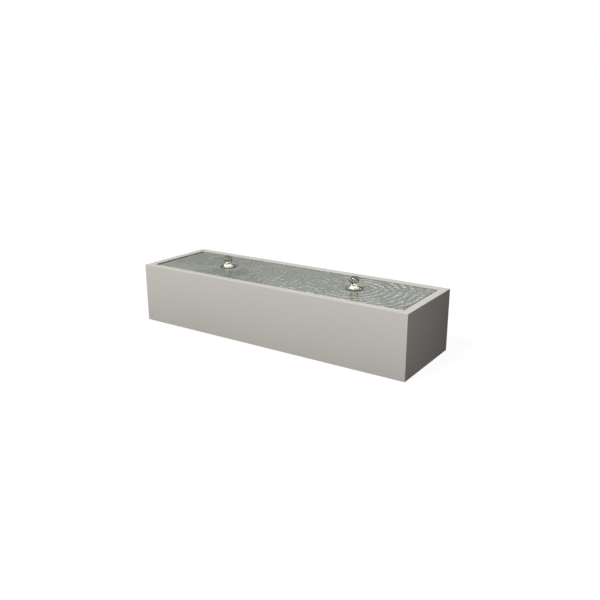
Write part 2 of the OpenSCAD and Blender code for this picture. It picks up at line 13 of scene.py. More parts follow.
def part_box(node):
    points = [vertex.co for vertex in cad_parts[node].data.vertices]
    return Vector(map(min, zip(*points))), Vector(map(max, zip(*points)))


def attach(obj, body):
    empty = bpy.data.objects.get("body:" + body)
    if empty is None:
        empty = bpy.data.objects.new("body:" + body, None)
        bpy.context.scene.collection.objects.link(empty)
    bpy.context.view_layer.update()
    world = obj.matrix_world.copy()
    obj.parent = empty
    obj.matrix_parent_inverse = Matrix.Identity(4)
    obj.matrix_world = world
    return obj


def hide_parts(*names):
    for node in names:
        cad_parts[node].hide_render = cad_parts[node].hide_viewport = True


bl_info = {
    "name": "Water table",
    "version": (1, 0, 0),
    "blender": (4, 5, 0),
    "location": "View3D > Sidebar > Water table",
    "description": "Builds the visible pieces and finishes of a garden water table with two lit jets",
    "category": "Object",
}

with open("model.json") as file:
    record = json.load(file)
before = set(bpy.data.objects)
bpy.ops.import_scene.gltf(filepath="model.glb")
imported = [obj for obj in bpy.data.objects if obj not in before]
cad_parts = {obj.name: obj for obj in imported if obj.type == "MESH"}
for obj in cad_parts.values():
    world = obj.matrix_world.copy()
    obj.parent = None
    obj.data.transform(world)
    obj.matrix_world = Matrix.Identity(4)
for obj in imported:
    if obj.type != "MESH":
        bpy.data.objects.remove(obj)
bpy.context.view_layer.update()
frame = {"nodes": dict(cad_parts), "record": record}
NODES = frame["nodes"]
SIDES = ("left", "right")
MM = 0.001

CASING_LOW, CASING_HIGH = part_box("casing")
POOL_LOW, POOL_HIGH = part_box("water_pool")
RING_LOW, RING_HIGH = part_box("lamp_ring_right")
JET_LOW, JET_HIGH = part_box("water_jet_right")
LENS_LOW, LENS_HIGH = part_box("lamp_lenses")
GROMMET_LOW, GROMMET_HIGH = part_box("entry_grommet")


def middle(node):
    """The centre of a CAD node's box."""
    low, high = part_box(node)
    return (low + high) / 2


JETS = {side: middle("nozzle_" + side) for side in SIDES}


# ---------------------------------------------------------------- sizes and colours


def length(name, description, default):
    """A length property in metres."""
    return FloatProperty(name=name, description=description, default=default, min=0.0, unit="LENGTH")


def colour(name, description, default):
    """A colour property, in linear light."""
    return FloatVectorProperty(
        name=name, description=description, default=default, subtype="COLOR", size=3, min=0.0, max=1.0
    )


def power(name, description, default):
    """The strength of a light."""
    return FloatProperty(name=name, description=description, default=default, min=0.0)


def turn(name, description, degrees):
    """An angle, given in degrees."""
    return FloatProperty(name=name, description=description, default=math.radians(degrees), subtype="ANGLE")


class CasingSizes(bpy.types.PropertyGroup):
    """Sizes of the folded casing."""

    sheet: length("Sheet", "Thickness of the folded sheet", 3 * MM)
    rim: length("Rim", "Width of the flat rim", 50 * MM)
    lip: length("Lip", "Depth of the lip inside the rim", 25 * MM)
    flange: length("Flange", "Width of the flange turned in underneath", 33 * MM)
    fold: length("Fold", "Outer radius of the folds", 1.5 * MM)


class WaterSizes(bpy.types.PropertyGroup):
    """Sizes of the water's surface."""

    cell: length("Cell", "Distance between two points of the surface", 4 * MM)
    wave: length("Wave", "Length of the waves that the jets send out", 46 * MM)
    height: length("Height", "Height of those waves near a jet", 1.0 * MM)
    chop: length("Chop", "Height of the small waves between them", 0.6 * MM)
    clear: length("Clear", "Gap between the pool and a lamp ring", 0.6 * MM)


class LampSizes(bpy.types.PropertyGroup):
    """Sizes of one lamp ring."""

    rim: length("Rim", "Width of the flat rim", 10 * MM)
    depth: length("Depth", "Height of the ring above its legs", 22.5 * MM)
    hole: length("Hole", "Radius of the hole for the nozzle", 26 * MM)
    wall: length("Wall", "Thickness of the floor and of the inner wall", 2 * MM)
    ledge: length("Ledge", "Width of the ledge that carries the lens", 2.5 * MM)
    bevel: length("Bevel", "Width of the bevelled edges", 0.7 * MM)
    leg: length("Leg", "Radius of a leg", 5 * MM)
    leg_reach: length("Leg reach", "Distance from the jet to a leg", 50 * MM)
    screw: length("Screw", "Radius of a screw's head", 2.4 * MM)
    screw_rise: length("Screw rise", "Height of a screw's head", 1.2 * MM)


class JetSizes(bpy.types.PropertyGroup):
    """Sizes of one jet of water."""

    foam: length("Foam", "Radius of the foam at the surface", 35 * MM)
    foam_height: length("Foam height", "Height of the foam above the surface", 12 * MM)
    head: length("Head", "Radius of the jet's head", 30 * MM)
    neck: length("Neck", "Radius of the neck under the head", 15 * MM)
    seed: IntProperty(name="Seed", description="Seed of the foam and the drops", default=7, min=0)


class Finishes(bpy.types.PropertyGroup):
    """Colours of the finishes."""

    coat: colour("Coat", "Powder coat of the casing", (0.52, 0.50, 0.465))
    tray: colour("Tray", "Coat of the tray", (0.30, 0.30, 0.27))
    tub: colour("Reservoir", "Coat of the reservoir", (0.16, 0.17, 0.17))
    water: colour("Water", "Body colour of the water", (0.144, 0.162, 0.133))
    lamp: colour("Lamp ring", "Coat of the lamp rings", (0.040, 0.056, 0.047))
    glow: colour("Glow", "Light of the lamps", (1.0, 0.80, 0.50))
    galvanised: colour("Galvanised", "Zinc of the base frame", (0.40, 0.42, 0.44))
    black: colour("Black", "Rubber and cable sheaths", (0.018, 0.018, 0.019))
    housing: colour("Housing", "Dark moulded parts", (0.040, 0.044, 0.048))
    fitting: colour("Fitting", "Grey moulded parts", (0.085, 0.092, 0.100))
    knob: colour("Knob", "Moulded flow knobs", (0.62, 0.17, 0.02))


class StageSettings(bpy.types.PropertyGroup):
    """Camera, lights and floor."""

    place: FloatVectorProperty(
        name="Place", description="Place of the camera", default=(2.4403, -3.5050, 1.5347), unit="LENGTH",
        size=3,
    )
    azimuth: turn("Azimuth", "Turn of the camera from facing the back", 33.761)
    tilt: turn("Tilt", "Tilt of the camera below the horizon", 16.926)
    lens: FloatProperty(name="Lens", description="Focal length of the camera in millimetres", default=40.51)
    fill: power("Fill", "Brightness of the light from all round", 0.12)
    key: power("Key", "Strength of the key light", 4.1)
    side: power("Side", "Power of the light beside the right-hand end", 1.4)
    back: power("Back", "Power of the light behind the table", 23.0)
    band: power("Band", "Power of the bright band that the waves mirror", 9.0)
    low_back: power("Low back", "Power of the low strip that the still water mirrors", 13.5)


# Each light, by its power's name: its kind, its place, the point it shines at, and its shape
LIGHTS = {
    "key": ("SUN", (-0.25, -0.60, 0.76), (0, 0, 0), {"angle": math.radians(22)}),
    "side": ("AREA", (1.85, -0.42, 0.55), (1.0, -0.15, 0.22), {"size": 0.5}),
    "back": ("AREA", (-0.9, 4.2, 3.0), (0.5, 0, 0.4), {"shape": "RECTANGLE", "size": 3.6, "size_y": 1.6}),
    "band": ("AREA", (-1.3, 4.1, 2.34), (0.8, 0, 0.4), {"shape": "RECTANGLE", "size": 3.2, "size_y": 0.7}),
    "low_back": ("AREA", (-2.5, 3.8, 1.75), (0, 0, 0.4), {"shape": "RECTANGLE", "size": 6, "size_y": 1.1}),
}
FLOOR_RADIUS = 60
DOME_RADIUS = 58

GROUPS = {
    "table_casing": CasingSizes,
    "table_water": WaterSizes,
    "table_lamp": LampSizes,
    "table_jet": JetSizes,
    "table_finish": Finishes,
    "table_stage": StageSettings,
}


# ---------------------------------------------------------------- shader building


class Value:
    """A shader socket in an expression: each operator adds the Math node that it stands for."""

    def __init__(self, paint, socket):
        self.paint = paint
        self.socket = socket

    def maths(self, operation, *terms):
        return self.paint.node("ShaderNodeMath", {"operation": operation}, dict(enumerate(terms)))

    def __add__(self, other):
        return self.maths("ADD", self, other)

    def __radd__(self, other):
        return self.maths("ADD", other, self)

    def __sub__(self, other):
        return self.maths("SUBTRACT", self, other)

    def __rsub__(self, other):
        return self.maths("SUBTRACT", other, self)

    def __mul__(self, other):
        return self.maths("MULTIPLY", self, other)

    def __rmul__(self, other):
        return self.maths("MULTIPLY", other, self)


PREFIX = "finish_"


class Paint:
    """One material: its Principled shader, and short ways to add the nodes that feed it."""

    def __init__(self, name, **uniform):
        self.material = bpy.data.materials.new(PREFIX + name)
        self.material.use_nodes = True
        self.tree = self.material.node_tree
        self.shader = self.tree.nodes["Principled BSDF"]
        self.spot = None
        self.give(**uniform)

    def node(self, kind, settings=None, inputs=None, output=0):
        """Adds a node, sets it up, feeds its sockets and returns one of its outputs."""
        made = self.tree.nodes.new(kind)
        for name, value in (settings or {}).items():
            if name == "stops":
                self.set_stops(made.color_ramp, value)
            else:
                setattr(made, name, value)
        for name, value in (inputs or {}).items():
            self.feed(made.inputs[name], value)
        return Value(self, made.outputs[output])

    def set_stops(self, ramp, stops):
        """Gives a colour ramp its stops, each a place and a grey or a colour."""
        while len(ramp.elements) < len(stops):
            ramp.elements.new(0.5)
        for element, (place, tone) in zip(ramp.elements, stops):
            element.position = place
            element.color = (*tone, 1) if hasattr(tone, "__len__") else (tone, tone, tone, 1)

    def feed(self, socket, value):
        if isinstance(value, Value):
            self.tree.links.new(value.socket, socket)
        elif hasattr(value, "__len__") and len(socket.default_value) == 4 and len(value) == 3:
            socket.default_value = (*value, 1)
        else:
            socket.default_value = value

    def give(self, **inputs):
        """Feeds the shader: base_color for Base Color, and so on."""
        for name, value in inputs.items():
            self.feed(self.shader.inputs[name.replace("_", " ").title().replace("Ior", "IOR")], value)
        return self

    def place(self):
        """The point on the piece, in its own space, in metres."""
        if self.spot is None:
            self.spot = self.node("ShaderNodeTexCoord", output="Object")
        return self.spot

    def moved(self, location=(0, 0, 0), scale=(1, 1, 1)):
        """The point on the piece, shifted and stretched."""
        inputs = {"Vector": self.place(), "Location": location, "Scale": scale}
        return self.node("ShaderNodeMapping", inputs=inputs)

    def cloud(self, scale, detail=3.0, roughness=0.55, vector=None, distortion=0.0):
        """Soft noise from 0 to 1; scale is in lumps per metre."""
        inputs = {"Vector": vector or self.place(), "Scale": scale, "Detail": detail}
        inputs.update({"Roughness": roughness, "Distortion": distortion})
        return self.node("ShaderNodeTexNoise", inputs=inputs)

    def cells(self, scale, feature="F1", vector=None):
        """Distance within cells; scale is in cells per metre."""
        inputs = {"Vector": vector or self.place(), "Scale": scale}
        return self.node("ShaderNodeTexVoronoi", {"feature": feature}, inputs)

    def ramp(self, value, *stops):
        return self.node("ShaderNodeValToRGB", {"stops": stops}, {"Fac": value})

    def blend(self, a, b, factor):
        """Colour a turning into colour b."""
        return self.node("ShaderNodeMix", {"data_type": "RGBA"}, {0: factor, 6: a, 7: b}, output=2)

    def bump(self, height, strength=0.3, distance=MM, normal=None):
        inputs = {"Height": height, "Strength": strength, "Distance": distance}
        if normal:
            inputs["Normal"] = normal
        return self.node("ShaderNodeBump", inputs=inputs)

    def height(self):
        """How far up the piece a point lies, in metres."""
        return self.node("ShaderNodeSeparateXYZ", inputs={"Vector": self.place()}, output="Z")


def shade(tone, factor):
    """A colour made lighter or darker."""
    return tuple(min(1.0, part * factor) for part in tone)


# ---------------------------------------------------------------- finishes


def powder_coat(name, tone, speckle=0.05, rough=0.54, dirt=0.0):
    """Fine-textured powder coat: a grain under a millimetre, slow drifts of tone, splash marks low down."""
    paint = Paint(name, specular_ior_level=0.18)
    drift = paint.cloud(2.2, 3, 0.5)
    grain = paint.cloud(1400, 2, 0.6)
    pores = paint.cloud(420, 2, 0.6)
    base = paint.blend(shade(tone, 0.965), shade(tone, 1.03), drift)
    base = paint.blend(base, shade(tone, 1 - 3 * speckle), paint.ramp(grain, (0.55, 0), (0.75, 1)) * 0.35)
    if dirt:
        low = paint.ramp(paint.height(), (0.0, 1.0), (0.14, 0.0))
        marks = low * paint.ramp(paint.cloud(16, 5, 0.65), (0.42, 0), (0.72, 1))
        base = paint.blend(base, shade(tone, 0.72), marks * dirt)
    rough_drift = rough + 0.10 * (paint.cloud(6, 3) - 0.5) + 0.05 * (grain - 0.5)
    surface = paint.bump(pores, 0.10, 0.25 * MM, paint.bump(grain, 0.16, 0.08 * MM))
    return paint.give(base_color=base, roughness=rough_drift, normal=surface).material


def moulded(name, tone, rough=0.5):
    """Moulded plastic: spark-eroded grain and a little flow variation."""
    paint = Paint(name)
    flow = paint.cloud(18, 2, vector=paint.moved(scale=(1, 1, 3)))
    fine = paint.cloud(900, 2, 0.6)
    base = paint.blend(shade(tone, 0.86), shade(tone, 1.18), flow)
    return paint.give(
        base_color=base, roughness=rough + 0.12 * (fine - 0.5) + 0.08 * (flow - 0.5),
        normal=paint.bump(fine, 0.22, 0.1 * MM),
    ).material


def rubber(name, tone):
    """Matt rubber with a dusty bloom."""
    paint = Paint(name)
    bloom = paint.ramp(paint.cloud(60, 4, 0.65), (0.35, 0), (0.8, 1))
    fine = paint.cloud(1500, 2)
    base = paint.blend(tone, (0.07, 0.07, 0.068), bloom * 0.5)
    return paint.give(
        base_color=base, roughness=0.78 + 0.15 * (bloom - 0.5), normal=paint.bump(fine, 0.3, 0.06 * MM)
    ).material


def galvanised(name, tone):
    """Hot-dipped zinc: spangles of slightly different grey."""
    paint = Paint(name, metallic=0.85)
    spangle = paint.cells(95)
    edges = paint.cells(95, "DISTANCE_TO_EDGE")
    haze = paint.cloud(24, 4)
    base = paint.blend(shade(tone, 0.78), shade(tone, 1.22), spangle * 0.9)
    base = paint.blend(base, (0.55, 0.56, 0.56), paint.ramp(haze, (0.5, 0), (0.85, 1)) * 0.35)
    seams = paint.bump(paint.ramp(edges, (0, 0), (0.08, 1)), 0.12, 0.1 * MM)
    return paint.give(base_color=base, roughness=0.36 + 0.22 * spangle, normal=seams).material


def metal(name, tone, rough, stretch=(1, 1, 1)):
    """Turned or brushed metal: fine lines along one direction, and finger-dull patches."""
    paint = Paint(name, metallic=1.0)
    brushed = paint.cloud(500, 3, 0.6, vector=paint.moved(scale=stretch))
    dull = paint.cloud(40, 4)
    base = paint.blend(shade(tone, 0.85), shade(tone, 1.12), brushed)
    return paint.give(
        base_color=base, roughness=rough + 0.18 * (brushed - 0.5) + 0.14 * (dull - 0.5),
        normal=paint.bump(brushed, 0.15, 0.05 * MM),
    ).material


def ceramic(name):
    """Ground and polished ceramic."""
    paint = Paint(name)
    fine = paint.cloud(700, 3)
    base = paint.blend((0.80, 0.77, 0.70), (0.90, 0.88, 0.83), fine)
    return paint.give(base_color=base, roughness=0.16 + 0.1 * fine).material


def lens_glass(name):
    """Toughened lens, faintly frosted inside and limed along its edge."""
    paint = Paint(name, transmission_weight=0.9, ior=1.5)
    lime = paint.ramp(paint.cloud(120, 4, 0.7), (0.45, 0), (0.8, 1))
    base = paint.blend((0.86, 0.91, 0.88), (0.70, 0.72, 0.68), lime * 0.4)
    crust = paint.bump(lime, 0.1, 0.1 * MM)
    return paint.give(base_color=base, roughness=0.10 + 0.22 * lime, normal=crust).material


def lamp_board(name, glow):
    """White board with its lamps alight: the light swells and fades in small patches."""
    paint = Paint(name, emission_strength=2.5, roughness=0.4)
    patch = paint.cells(110)
    light = paint.blend(glow, shade(glow, 0.35), paint.ramp(patch, (0.1, 0), (0.7, 1)))
    return paint.give(base_color=(0.85, 0.8, 0.7), emission_color=light).material


def pool_water(name, tone):
    """Water over a coated bed: mottled body colour under a clean wavy skin, with a net of caustic light
    painted on the bed.
    """
    paint = Paint(name, ior=1.333, specular_ior_level=0.5)
    warp = paint.cloud(7, 2)
    bed = paint.cloud(22, 4, 0.6, distortion=0.8)
    # Cells that lighten the body colour in a net: painted caustic light on the bed under the water
    cells = paint.cells(26, "SMOOTH_F1", vector=paint.moved(scale=(1, 1.3, 0.1)))
    painted_caustics = paint.ramp(cells, (0.25, 0), (0.75, 1))
    base = paint.blend(shade(tone, 0.80), shade(tone, 1.25), bed)
    base = paint.blend(base, shade(tone, 1.6), painted_caustics * warp * 0.5)
    ripple = paint.cloud(95, 3, 0.5, distortion=0.6)
    skin = paint.bump(ripple, 0.14, 1.0 * MM)
    return paint.give(base_color=base, roughness=0.03 + 0.03 * bed, normal=skin).material


def clear_water(name):
    """Clear moving water with strings of small bubbles."""
    paint = Paint(name, transmission_weight=1.0, ior=1.333, roughness=0.0)
    bubbles = paint.ramp(paint.cells(330), (0.10, 1), (0.24, 0))
    patch = paint.ramp(paint.cloud(60, 2), (0.50, 0), (0.70, 1))
    base = paint.blend((0.74, 0.81, 0.80), (0.9, 0.93, 0.90), bubbles * patch)
    wavy = paint.cloud(70, 2, 0.5, distortion=1.0)
    return paint.give(base_color=base, normal=paint.bump(wavy, 0.12, 1.0 * MM)).material


def lit_foam(name, glow):
    """Aerated water with the lamps' light painted into it as a glow: white where it is thick, warm yellow
    where it is thin.
    """
    paint = Paint(name, roughness=0.3, emission_strength=1.0)
    lumps = paint.cloud(75, 4, 0.6, distortion=0.5)
    froth = paint.cells(260)
    heart = paint.ramp(lumps, (0.42, 0), (0.58, 1))
    # Painted shade in the gaps between the lumps of foam
    shaded_gaps = paint.ramp(lumps, (0.30, 1), (0.42, 0))
    # Emission: painted lamp light, bright white in the thick heart and dim warm yellow where the foam is
    # thin
    light = paint.blend(shade(glow, 0.40), (0.85, 0.80, 0.70), heart)
    # The glow goes dark in the gaps: painted shade
    light = paint.blend(light, (0.03, 0.025, 0.01), shaded_gaps)
    # Painted fall-off of the lamps' light: the glow dims to a faint warm yellow from 10 to 20 mm above the
    # water
    dimmed_higher = paint.ramp(paint.height(), (POOL_HIGH.z + 10 * MM, 0), (POOL_HIGH.z + 20 * MM, 1))
    light = paint.blend(light, shade(glow, 0.30), dimmed_higher)
    # Base colour warm yellow where the foam is thin: painted tint of the lamps' light
    base = paint.blend((0.42, 0.36, 0.24), (0.62, 0.61, 0.56), heart)
    # Painted shade in the gaps: dark base colour between the lumps
    base = paint.blend(base, (0.10, 0.09, 0.06), shaded_gaps)
    skin = paint.bump(froth, 0.5, 1.0 * MM, paint.bump(lumps, 0.5, 2 * MM))
    return paint.give(base_color=base, emission_color=light, normal=skin).material


def make_finishes(tones):
    """Every finish of the table, by the record's slot."""
    return {
        "casing_coat": powder_coat("casing_coat", tones.coat, dirt=0.07),
        "tray_coat": powder_coat("tray_coat", tones.tray, rough=0.35),
        "tub_coat": powder_coat("tub_coat", tones.tub, rough=0.55),
        "galvanised": galvanised("galvanised", tones.galvanised),
        "fastener": metal("fastener", (0.60, 0.61, 0.60), 0.30, stretch=(1, 1, 6)),
        "rubber": rubber("rubber", tones.black),
        "edge_trim": rubber("edge_trim", shade(tones.water, 1.6)),
        "lead_sheath": rubber("lead_sheath", shade(tones.black, 1.5)),
        "housing_plastic": moulded("housing_plastic", tones.housing),
        "fitting_plastic": moulded("fitting_plastic", tones.fitting, rough=0.42),
        "knob_plastic": moulded("knob_plastic", tones.knob, rough=0.28),
        "rotor_plastic": moulded("rotor_plastic", (0.62, 0.58, 0.48), rough=0.45),
        "ceramic": ceramic("ceramic"),
        "brass": metal("brass", (0.56, 0.42, 0.17), 0.28),
        "nozzle_steel": metal("nozzle_steel", (0.60, 0.61, 0.61), 0.24, stretch=(1, 1, 12)),
        "lamp_housing": powder_coat("lamp_housing", tones.lamp, speckle=0.1, rough=0.30),
        "lamp_lens": lens_glass("lamp_lens"),
        "lamp_leds": lamp_board("lamp_leds", tones.glow),
        "pool_water": pool_water("pool_water", tones.water),
        "jet_water": clear_water("jet_water"),
        "jet_foam": lit_foam("jet_foam", tones.glow),
    }


def finish_of(name):
    """A finish that the first operator made."""
    return bpy.data.materials[PREFIX + name]


# ---------------------------------------------------------------- mesh helpers


def settle(shape, name, body, finish, replaced=()):
    """Turns a bmesh into a smooth piece that rides on a body and stands for CAD nodes."""
    mesh = bpy.data.meshes.new(name)
    shape.to_mesh(mesh)
    shape.free()
    piece = bpy.data.objects.new(name, mesh)
    bpy.context.scene.collection.objects.link(piece)
    mesh.materials.append(finish_of(finish))
    for face in mesh.polygons:
        face.use_smooth = True
    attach(piece, body)
    if replaced:
        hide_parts(*replaced)
    return piece


def apply_modifiers(piece):
    """Swaps a piece's mesh for the one that its modifiers make."""
    seen = piece.evaluated_get(bpy.context.evaluated_depsgraph_get())
    mesh = bpy.data.meshes.new_from_object(seen)
    piece.modifiers.clear()
    piece.data = mesh
    return piece


def block(low, high):
    """A bmesh box between two corners."""
    made = bmesh.new()
    bmesh.ops.create_cube(made, size=1)
    bmesh.ops.scale(made, vec=high - low, verts=made.verts)
    bmesh.ops.translate(made, vec=(low + high) / 2, verts=made.verts)
    return made


def lathe(profile, centre, steps=64):
    """Spins a closed outline of (radius, height) points round the upright line through centre."""
    made = bmesh.new()
    verts = [made.verts.new((radius, 0, z)) for radius, z in profile]
    edges = [made.edges.new((a, b)) for a, b in zip(verts, verts[1:] + verts[:1])]
    bmesh.ops.spin(
        made, geom=verts + edges, cent=(0, 0, 0), axis=(0, 0, 1), angle=math.tau, steps=steps,
        use_merge=True,
    )
    bmesh.ops.remove_doubles(made, verts=made.verts, dist=0.01 * MM)
    bmesh.ops.recalc_face_normals(made, faces=made.faces)
    bmesh.ops.translate(made, vec=(centre.x, centre.y, 0), verts=made.verts)
    return made


# ---------------------------------------------------------------- pieces


class TABLE_OT_finishes(bpy.types.Operator):
    """Make every finish and put it on the CAD pieces"""

    bl_idname = "table.finishes"
    bl_label = "Finishes"
    bl_options = {"REGISTER", "UNDO"}

    def execute(self, context):
        made = make_finishes(context.scene.table_finish)
        for part in frame["record"]["subparts"]:
            mesh = NODES[part["node"]].data
            mesh.materials.clear()
            mesh.materials.append(made[part["material_slot"]])
        return {"FINISHED"}


class TABLE_OT_casing(bpy.types.Operator):
    """Fold the casing: four walls, rim, lip and the flange underneath"""

    bl_idname = "table.casing"
    bl_label = "Casing"
    bl_options = {"REGISTER", "UNDO"}

    def execute(self, context):
        sizes = context.scene.table_casing
        shell = block(CASING_LOW, CASING_HIGH)
        folds = list(shell.edges)
        for height, width in ((CASING_HIGH.z, sizes.rim), (CASING_LOW.z, sizes.flange)):
            face = min(shell.faces, key=lambda f: abs(f.calc_center_median().z - height))
            bmesh.ops.inset_region(shell, faces=[face], thickness=width, use_even_offset=True)
            bmesh.ops.delete(shell, geom=[face], context="FACES_ONLY")
        mouth = [e for e in shell.edges if e.is_boundary and e.verts[0].co.z > CASING_LOW.z + sizes.lip]
        drop = bmesh.ops.extrude_edge_only(shell, edges=mouth)["geom"]
        bmesh.ops.translate(
            shell, vec=(0, 0, -sizes.lip), verts=[g for g in drop if isinstance(g, bmesh.types.BMVert)]
        )
        corners = [e for e in shell.edges if e.calc_length() < sizes.lip * 1.01 and not e.is_boundary]
        bmesh.ops.bevel(
            shell, geom=folds + mouth + corners, offset=sizes.fold, offset_type="OFFSET", segments=4,
            profile=0.5, affect="EDGES", material=-1, clamp_overlap=True,
        )
        bmesh.ops.recalc_face_normals(shell, faces=shell.faces)
        rim = max(shell.faces, key=lambda f: f.calc_center_median().z * 1000 + f.calc_area())
        if rim.normal.z < 0:
            bmesh.ops.reverse_faces(shell, faces=shell.faces)
        piece = settle(shell, "casing_shell", "casing", "casing_coat", ["casing"])
        wall = piece.modifiers.new("wall", "SOLIDIFY")
        wall.thickness = sizes.sheet
        wall.offset = -1
        wall.use_even_offset = True
        apply_modifiers(piece)
        hole = entry_cutter()
        cut = piece.modifiers.new("entry", "BOOLEAN")
        cut.object = hole
        cut.solver = "EXACT"
        apply_modifiers(piece)
        bpy.data.objects.remove(hole)
        smooth_flats(piece)
        return {"FINISHED"}


ENTRY_RADIUS = 9.9 * MM
ENTRY_DEPTH = 20 * MM


def entry_cutter():
    """A rod along Y through the casing's back wall, as wide as the grommet's neck."""
    centre = (GROMMET_LOW + GROMMET_HIGH) / 2
    centre.y = GROMMET_HIGH.y
    made = bmesh.new()
    bmesh.ops.create_cone(
        made, cap_ends=True, segments=48, radius1=ENTRY_RADIUS, radius2=ENTRY_RADIUS, depth=ENTRY_DEPTH,
        matrix=Matrix.Translation(centre) @ Matrix.Rotation(math.pi / 2, 4, "X"),
    )
    mesh = bpy.data.meshes.new("cutter")
    made.to_mesh(mesh)
    made.free()
    cutter = bpy.data.objects.new("cutter", mesh)
    bpy.context.scene.collection.objects.link(cutter)
    return cutter


def smooth_flats(piece, angle=math.radians(30)):
    """Shades folds smooth and keeps the flats flat."""
    piece.data.polygons.foreach_set("use_smooth", [True] * len(piece.data.polygons))
    piece.data.set_sharp_from_angle(angle=angle)


# Each jet's waves: their height, how much more they have towards the weir, and their length
JET_WAVES = {"left": (0.75, 0.0, 0.65), "right": (0.55, 2.1, 1.0)}
# The waves straight from a jet and their echoes off the back and the front, with each one's share
ECHOES = ((0, 1.0), (1, 0.22), (-1, 0.15))


def water_height(x, y, sizes):
    """Height of the surface above its mean level: rings from both jets, their echoes and small chop."""
    lift = 0.0
    towards_weir = 0.5 + 0.5 * math.tanh((x - JETS["right"].x + 0.6 * y - 0.13) / 0.10)
    uneven = 0.75 + 0.9 * noise.noise(Vector((x * 11, y * 14, 8.0)))
    for side, (calm, surge, wave) in JET_WAVES.items():
        jet = JETS[side]
        strength = calm + surge * towards_weir
        for wall, share in ECHOES:
            far = math.hypot(x - jet.x, y - jet.y - wall * (POOL_HIGH.y - POOL_LOW.y))
            fade = min(1.0, max(0.0, (far - 0.05) / 0.06)) / math.sqrt(1 + (far / 0.35) ** 2)
            bent = far + 0.010 * noise.noise(Vector((x * 10, y * 10, 3.0)))
            crest = math.cos(math.tau * bent / sizes.wave / wave)
            lift += strength * share * fade * uneven * (crest + 0.45 * crest * crest)
    streaks = noise.fractal(Vector((x * 12 + y * 9, y * 40 - x * 10, 0.5)), 1.0, 2.1, 3)
    fine = noise.noise(Vector((x * 85, y * 85, 1.7)))
    return lift * sizes.height + (streaks + 0.4 * fine) * sizes.chop * (0.5 + 0.5 * towards_weir)


class TABLE_OT_water(bpy.types.Operator):
    """Pool of water: a rippled surface that closes round both lamp rings"""

    bl_idname = "table.water"
    bl_label = "Water"
    bl_options = {"REGISTER", "UNDO"}

    def execute(self, context):
        sizes = context.scene.table_water
        low, high = POOL_LOW, POOL_HIGH
        span = high - low
        pool = bmesh.new()
        bmesh.ops.create_grid(
            pool, x_segments=round(span.x / sizes.cell), y_segments=round(span.y / sizes.cell), size=0.5
        )
        bmesh.ops.scale(pool, vec=(span.x, span.y, 1), verts=pool.verts)
        bmesh.ops.translate(pool, vec=((low.x + high.x) / 2, 0, high.z), verts=pool.verts)
        clear = (RING_HIGH.x - RING_LOW.x) / 2 + sizes.clear
        for jet in JETS.values():
            inside = [f for f in pool.faces if (f.calc_center_median().xy - jet.xy).length < clear]
            bmesh.ops.delete(pool, geom=inside, context="FACES")
            for vert in pool.verts:
                off = vert.co.xy - jet.xy
                if vert.is_boundary and off.length < clear + 3 * sizes.cell:
                    vert.co.xy = jet.xy + off.normalized() * clear
        for vert in pool.verts:
            vert.co.z = high.z - 1.2 * MM + water_height(vert.co.x, vert.co.y, sizes)
        brink = [e for e in pool.edges if e.is_boundary]
        skirt = bmesh.ops.extrude_edge_only(pool, edges=brink)["geom"]
        for vert in skirt:
            if isinstance(vert, bmesh.types.BMVert):
                vert.co.z = low.z
        base = [e for e in skirt if isinstance(e, bmesh.types.BMEdge) and e.is_boundary]
        bmesh.ops.triangle_fill(pool, use_beauty=False, use_dissolve=False, edges=base)
        bmesh.ops.recalc_face_normals(pool, faces=pool.faces)
        piece = settle(pool, "pool_surface", "water", "pool_water", ["water_pool"])
        smooth_flats(piece, math.radians(50))
        return {"FINISHED"}


